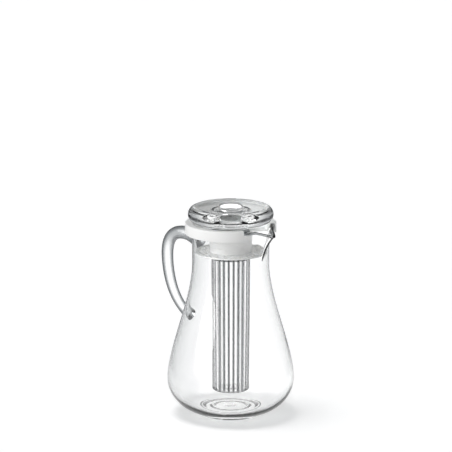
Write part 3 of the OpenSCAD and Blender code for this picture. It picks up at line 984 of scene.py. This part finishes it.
@dataclass
class IceCore:
    """The fluted tube for ice, and the silicone ring on its shoulder."""

    shoulder_r: float = 23.8
    tip_r: float = 22.5
    neck_r: float = 21.3
    neck_h: float = 8.2
    neck_t: float = 1.8
    wall: float = 1.6
    flutes: int = 24
    flute_depth: float = 0.9
    flute_share: float = 0.74
    # Where the flutes start, above the tube's end and below its shoulder, and how far each way
    # they take to reach their depth
    flute_ends: Point = (1.3, 2.6)
    flute_runs: Point = (1.5, 2.5)
    thread_h: float = 1.25
    pitch: float = 3.0
    # How much of the neck stays plain below its thread and above it
    thread_ends: Point = (1.9, 0.5)
    nub_r: float = 2.8
    nub_h: float = 1.25
    corner_r: float = 2.8
    corner_in_r: float = 2.0
    columns: int = 288
    rim_z: float = field(default_factory=lambda: level("core_tube", True))
    low_z: float = field(default_factory=lambda: level("core_tube", False))

    @property
    def shoulder_z(self) -> float:
        """Height of the shoulder that the silicone ring lies on."""
        return self.rim_z - self.neck_h

    @property
    def tip_in_r(self) -> float:
        """Inner radius at the closed end."""
        return self.tip_r - self.flute_depth - self.wall

    def fluted(self, r: np.ndarray, a: np.ndarray, z: np.ndarray) -> Places:
        """Presses the flutes into the tube's outside and raises the neck's thread.

        Args:
            r: radii.
            a: angles.
            z: heights.

        Returns:
            The radii, angles and heights.
        """
        low, high = self.low_z, self.shoulder_z
        skin = self.tip_r + (self.shoulder_r - self.tip_r) * (z - low) / (high - low)
        corner = (z < low + 1.5 + self.corner_r) & (r > self.tip_in_r + 0.3)
        outside = ((r > skin - 0.5) | corner) & (z < high - 1)
        across = np.abs((a * self.flutes / TURN) % 1 - 0.5) * 2 / self.flute_share
        scoop = np.clip(1 - across**2, 0, 1)
        scoop *= np.clip((z - low - self.flute_ends[0]) / self.flute_runs[0], 0, 1)
        scoop *= np.clip((high - self.flute_ends[1] - z) / self.flute_runs[1], 0, 1)
        r = np.where(outside, r - self.flute_depth * scoop, r)
        span = (high + self.thread_ends[0], self.rim_z - self.thread_ends[1])
        return Thread(self.neck_r, self.thread_h, self.pitch, 2, *span).cut(r, a, z), a, z

    def build(self) -> Piece:
        """Returns the tube."""
        low, top, shoulder = self.low_z + self.nub_h, self.rim_z, self.shoulder_z
        in_r = self.shoulder_r - self.flute_depth - self.wall
        neck_in = self.neck_r - self.neck_t
        corner, corner_in = self.corner_r, self.corner_in_r
        outside = [(0, self.low_z), (self.nub_r - 1, self.low_z), (self.nub_r, low)]
        outside += arc((self.tip_r - corner, low + corner), (corner, corner), -90, 0, 8)
        outside += [
            (self.shoulder_r - 0.05, shoulder - 2.2), (self.shoulder_r, shoulder), (self.neck_r, shoulder),
            (self.neck_r, top), (neck_in, top), (neck_in, shoulder - 2.5), (in_r, shoulder - 5),
        ]
        floor = low + self.wall
        inside = arc((self.tip_in_r - corner_in, floor + corner_in), (corner_in, corner_in), 0, -90, 6)
        outline = softened(outside + inside + [(0, floor)], 0.5, False, 3)
        outline = divided(divided(outline, 6.0), 0.3, shoulder + 1.2, top - 0.2)
        outline = divided(outline, 0.8, shoulder - 6.5, shoulder - 1.5)
        tube = lathe("ice_core", outline, self.columns)
        press(tube, self.fluted)
        smooth(tube, 50)
        coat(tube, CORE_PLASTIC.build())
        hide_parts("core_tube")
        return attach(tube, "core")

    def ring(self, finish: Material) -> Piece:
        """Returns the silicone ring on the shoulder.

        Args:
            finish: the silicone's material.

        Returns:
            The ring.
        """
        radii = (self.neck_r + 0.1, self.shoulder_r - 0.05)
        ring = silicone_ring("core_ring_silicone", "core_seal", radii, 0.6, finish)
        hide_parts("core_seal")
        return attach(ring, "core_ring")


@dataclass
class Stopper:
    """The clear stopper: a thick rolled disc with a threaded cup below, and the cup's ring."""

    knob_r: float = 51.5
    knob_t: float = 19.6
    edge: float = 9.4
    dimple_r: float = 13.0
    dimple_h: float = 6.4
    plug_r: float = 22.9
    plug_t: float = 2.0
    boss_in_r: float = 13.8
    boss_h: float = 9.4
    boss_t: float = 1.7
    thread_h: float = 0.62
    thread_len: float = 20.0
    pitch: float = 3.0
    starts: int = 3
    ring_w: float = 3.2
    # Roundings of the plug's end, of its root under the knob and of the hollow in the boss
    end_round: float = 0.4
    root_round: float = 1.4
    boss_round: float = 3.4
    columns: int = 192
    top_z: float = field(default_factory=lambda: level("stopper_knob", True))
    low_z: float = field(default_factory=lambda: level("stopper_plug", False))

    def threaded(self, r: np.ndarray, a: np.ndarray, z: np.ndarray) -> Places:
        """Raises the plug's thread; takes and gives radii, angles and heights."""
        span = (self.low_z + 0.5, self.low_z + self.thread_len)
        return Thread(self.plug_r, self.thread_h, self.pitch, self.starts, *span).cut(r, a, z), a, z

    def build(self) -> Piece:
        """Returns the knob and the plug as the one clear body that they are bonded into."""
        low, top, knob_z, half = self.low_z, self.top_z, self.top_z - self.knob_t, self.knob_t / 2
        plug_in, edge_r = self.plug_r - self.plug_t, self.knob_r - self.edge
        roof_z, web_z = knob_z - self.plug_t, knob_z + self.boss_h - self.boss_t
        dimple, floor_z, lip = self.dimple_r, self.top_z - self.dimple_h, self.dimple_h / 3
        outline = softened([(plug_in, low), (self.plug_r, low)], self.end_round, False)
        root = [(self.plug_r, low + 0.2), (self.plug_r, knob_z), (edge_r - 4, knob_z)]
        outline += softened(root, self.root_round, False, 5)
        outline += arc((edge_r, knob_z + half), (self.edge, half), -90, 90, 36)
        outline += [(edge_r - (edge_r - dimple) * s, top) for s in (0.3, 0.6)]
        outline += arc((dimple + lip, top - lip), (lip, lip), 90, 180, 8)
        outline += arc((dimple - lip, floor_z + lip), (lip, lip), 0, -90, 8)
        outline += [(dimple * s, floor_z) for s in (0.6, 0.3, 0)]
        boss = [
            (plug_in, low), (plug_in, roof_z), (self.boss_in_r, roof_z), (self.boss_in_r, web_z), (0, web_z),
        ]
        outline = divided(outline + softened(boss, self.boss_round, False, 7)[::-1], 6.0)
        outline = divided(outline, 0.3, low + 0.4, low + self.thread_len + 1)
        body = lathe("stopper_acrylic", outline, self.columns)
        press(body, self.threaded)
        smooth(body, 50)
        coat(body, KNOB_ACRYLIC.build())
        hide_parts("stopper_knob", "stopper_plug")
        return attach(body, "stopper")

    def ring(self, finish: Material) -> Piece:
        """Returns the silicone ring at the plug's end.

        Args:
            finish: the silicone's material.

        Returns:
            The ring.
        """
        radii = (self.plug_r - self.ring_w, self.plug_r)
        ring = silicone_ring("plug_ring_silicone", "stopper_seal", radii, 0.45, finish)
        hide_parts("stopper_seal")
        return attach(ring, "stopper_ring")


# The plain studio


@dataclass(frozen=True)
class Studio:
    """A white table and a bright room, soft key light from the left and a camera on a long lens."""

    # The photograph's side, and where the jug's axis, rim and foot lie in it, in its pixels
    side_px: float = 452.0
    axis_px: float = 230.7
    rim_px: float = 224.0
    foot_px: float = 412.0
    rim_z: float = 235.0
    # The camera's turn round the jug and its height, in degrees, and its distance
    azimuth: float = 36.0
    elevation: float = 13.0
    distance: float = 4000.0
    sensor: float = 36.0
    # How far the camera sees, in metres
    reach: float = 60.0
    # Lamps: the way each hangs, to the camera's right, towards the camera and up, its strength,
    # and how wide it looks from the jug, in degrees
    key_way: Way = (-0.80, 0.46, 0.55)
    key_strength: float = 2.6
    key_spread: float = 50.0
    top_way: Way = (-0.21, 0.02, 0.97)
    top_strength: float = 1.6
    top_spread: float = 26.0
    room: str = "#959697"
    # The darker half of the room, as glossy faces mirror it, and the ceiling behind clear pieces
    shadows: str = "#8A8B8C"
    ceiling: str = "#86888A"
    # The window in the mirrored half: its way, and how near to it the light starts and is full
    window_way: Way = (-0.45, 0.75, 0.5)
    window_edge: Point = (0.62, 0.74)
    # How steep a way is where the ceiling starts and is full
    ceiling_edge: Point = (0.34, 0.72)
    # The table, its side and how far it lies under the jug, in metres
    table: str = "#E6E6E6"
    table_side: float = 40.0
    table_drop: float = 0.0003
    # How much the table glows to the camera, through clear pieces, and mirrored in those close by
    table_glow: float = 0.38
    clear_glow: float = 0.52
    gloss_glow: float = 0.45
    # How far from the jug's axis the mirrored table starts to darken, and is dark, in metres
    table_edge: Point = (0.22, 0.6)
    # How far to the left the mirrored table starts to be darker still, and is so, in metres
    dark_side: Point = (0.0, 0.35)
    dark: str = "#707274"

    def axes(self) -> tuple[Vector, Vector]:
        """Returns the directions to the camera's right and, level, towards the camera."""
        t = math.radians(self.azimuth)
        return Vector((math.cos(t), math.sin(t), 0)), Vector((math.sin(t), -math.cos(t), 0))

    def toward(self, way: Way) -> Vector:
        """Returns the direction of a way to the camera's right, towards the camera and up."""
        right, near = self.axes()
        return right * way[0] + near * way[1] + Vector((0, 0, way[2]))

    def lens(self) -> tuple[float, float]:
        """Returns the focal length in pixels and the height on the axis that the camera aims at."""
        e = math.radians(self.elevation)
        centre = self.side_px / 2
        focal, aim = self.distance, self.rim_z
        # Each of the two follows from the other, so they are found in rounds
        for _ in range(40):
            rise = (centre - self.rim_px) * (self.distance - (self.rim_z - aim) * math.sin(e))
            aim = self.rim_z - rise / (focal * math.cos(e))
            focal = (self.foot_px - centre) * (self.distance + aim * math.sin(e)) / (aim * math.cos(e))
        return focal, aim

    def camera(self) -> None:
        """Sets up the camera at the photograph's viewing angle."""
        right, near = self.axes()
        focal, aim_z = self.lens()
        e = math.radians(self.elevation)
        sideways = (self.axis_px - self.side_px / 2) * self.distance / focal
        aim = Vector((0, 0, aim_z)) - right * sideways
        place = aim + (near * math.cos(e) + Vector((0, 0, math.sin(e)))) * self.distance
        bpy.ops.object.camera_add(location=place * MM)
        camera = active()
        camera.name = "long_lens"
        camera.rotation_euler = (aim - place).to_track_quat("-Z", "Y").to_euler()
        camera.data.sensor_width = self.sensor
        camera.data.lens = focal * self.sensor / self.side_px
        camera.data.clip_end = self.reach
        bpy.context.scene.camera = camera

    def lamp(self, name: str, way: Way, strength: float, spread: float) -> Piece:
        """Hangs a soft lamp.

        Args:
            name: the lamp's name.
            way: where it hangs: to the camera's right, towards the camera and up.
            strength: its strength.
            spread: how wide it looks from the jug, in degrees.

        Returns:
            The lamp.
        """
        bpy.ops.object.light_add(type="SUN")
        lamp = active()
        lamp.name = name
        lamp.data.energy = strength
        lamp.data.angle = math.radians(spread)
        lamp.rotation_euler = (-self.toward(way)).to_track_quat("-Z", "Y").to_euler()
        return lamp

    def lamps(self, table: Piece) -> None:
        """Hangs the wide key lamp before the jug on the left, and one above that only draws the shadow.

        Args:
            table: the table, which the key lamp is kept off and the top lamp alone lights.
        """
        key = self.lamp("key_lamp", self.key_way, self.key_strength, self.key_spread)
        top = self.lamp("top_lamp", self.top_way, self.top_strength, self.top_spread)
        for lamp, state in ((key, "EXCLUDE"), (top, "INCLUDE")):
            lit = bpy.data.collections.new(f"{lamp.name}_table")
            lit.objects.link(table)
            lit.collection_objects[0].light_linking.link_state = state
            lamp.light_linking.receiver_collection = lit

    def surroundings(self) -> None:
        """Lights the room evenly; clear pieces show it white, and gloss shows its darker half."""
        world = bpy.data.worlds.new("bright_room")
        bpy.context.scene.world = world
        world.use_nodes = True
        tree = world.node_tree
        tree.nodes.clear()
        path = node(tree, "LightPath").outputs
        way = node(tree, "TexCoord").outputs["Generated"]
        window = node(
            tree, "VectorMath", {0: way, 1: self.toward(self.window_way).normalized()},
            operation="DOT_PRODUCT",
        )
        upward = node(tree, "SeparateXYZ", {0: way}).outputs["Z"]
        layers = []
        for ray, value, edge, near, far in (
            ("Is Glossy Ray", window, self.window_edge, linear(self.shadows), WHITE),
            ("Is Transmission Ray", upward, self.ceiling_edge, WHITE, linear(self.ceiling)),
        ):
            share = node(
                tree, "MapRange", {"Value": value, "From Min": edge[0], "From Max": edge[1]},
                interpolation_type="SMOOTHSTEP",
            )
            mixed = node(tree, "Mix", {"Factor": share, "A": near, "B": far}, data_type="RGBA")
            layers.append((ray, mixed))
        shown = linear(self.room)
        for ray, colour in (*layers, ("Is Camera Ray", WHITE)):
            shown = node(tree, "Mix", {"Factor": path[ray], "A": shown, "B": colour}, data_type="RGBA")
        glow = node(tree, "Background", {"Color": shown, "Strength": 1.0})
        node(tree, "OutputWorld", {"Surface": glow})

    def tabletop(self) -> Piece:
        """Lays the white table, which keeps the jug's shadow, and returns it."""
        bpy.ops.object.select_all(action="DESELECT")
        bpy.ops.mesh.primitive_plane_add(size=self.table_side, location=(0, 0, -self.table_drop))
        table = active()
        table.name = "white_table"
        bpy.ops.object.transform_apply(location=True, rotation=True, scale=True)
        material, tree = blank("white_laminate")
        path = node(tree, "LightPath").outputs
        seen, cleared = path["Is Camera Ray"], path["Is Transmission Ray"]
        gloss = node(tree, "Math", {0: seen, 1: cleared}, operation="MAXIMUM")
        gloss = node(
            tree, "Math", {0: path["Is Glossy Ray"], 1: gloss}, operation="SUBTRACT", use_clamp=True
        )
        place = node(tree, "TexCoord").outputs["Object"]
        away = node(tree, "VectorMath", {0: place}, operation="LENGTH")
        left = node(tree, "VectorMath", {0: place, 1: -self.axes()[0]}, operation="DOT_PRODUCT")
        far, aside = (
            node(
                tree, "MapRange", {"Value": value, "From Min": edge[0], "From Max": edge[1]},
                interpolation_type="SMOOTHSTEP",
            )
            for value, edge in ((away, self.table_edge), (left, self.dark_side))
        )
        close = node(tree, "Math", {0: 1.0, 1: far}, operation="SUBTRACT")
        close = node(tree, "Math", {0: close, 1: gloss}, operation="MULTIPLY")
        strength = 0.0
        for ray, share in ((close, self.gloss_glow), (seen, self.table_glow), (cleared, self.clear_glow)):
            strength = node(tree, "Math", {0: ray, 1: share, 2: strength}, operation="MULTIPLY_ADD")
        distant = node(tree, "Math", {0: gloss, 1: far}, operation="MULTIPLY")
        colour = linear(self.dark)
        for factor, code in ((aside, self.shadows), (distant, self.table)):
            colour = node(tree, "Mix", {"Factor": factor, "A": linear(code), "B": colour}, data_type="RGBA")
        paint = node(tree, "BsdfDiffuse", {"Color": colour})
        glow = node(tree, "Emission", {"Color": WHITE, "Strength": strength})
        both = node(tree, "AddShader", {0: paint, 1: glow})
        node(tree, "OutputMaterial", {"Surface": both})
        table.data.materials.append(material)
        return table

    def build(self) -> None:
        """Builds the table, the lamps, the room and the camera."""
        self.lamps(self.tabletop())
        self.surroundings()
        self.camera()
        bpy.context.scene.view_settings.view_transform = "Standard"


def report(piece: Piece) -> None:
    """Logs a finished piece's name and size."""
    LOG.info("%s: %d faces, %s mm", piece.name, len(piece.data.polygons),
             [round(d / MM, 1) for d in piece.dimensions])


def main() -> None:
    """Builds every piece in order, then the studio."""
    logging.basicConfig(level=logging.INFO, format="%(name)s: %(message)s")
    silicone = SEAL_SILICONE.build()
    report(Jug().build())
    lid = Lid()
    cover = lid.cover()
    report(cover)
    report(lid.strainer(cover.data.materials[0]))
    core = IceCore()
    report(core.build())
    report(core.ring(silicone))
    stopper = Stopper()
    report(stopper.build())
    report(stopper.ring(silicone))
    Studio().build()


if __name__ == "__main__":
    main()
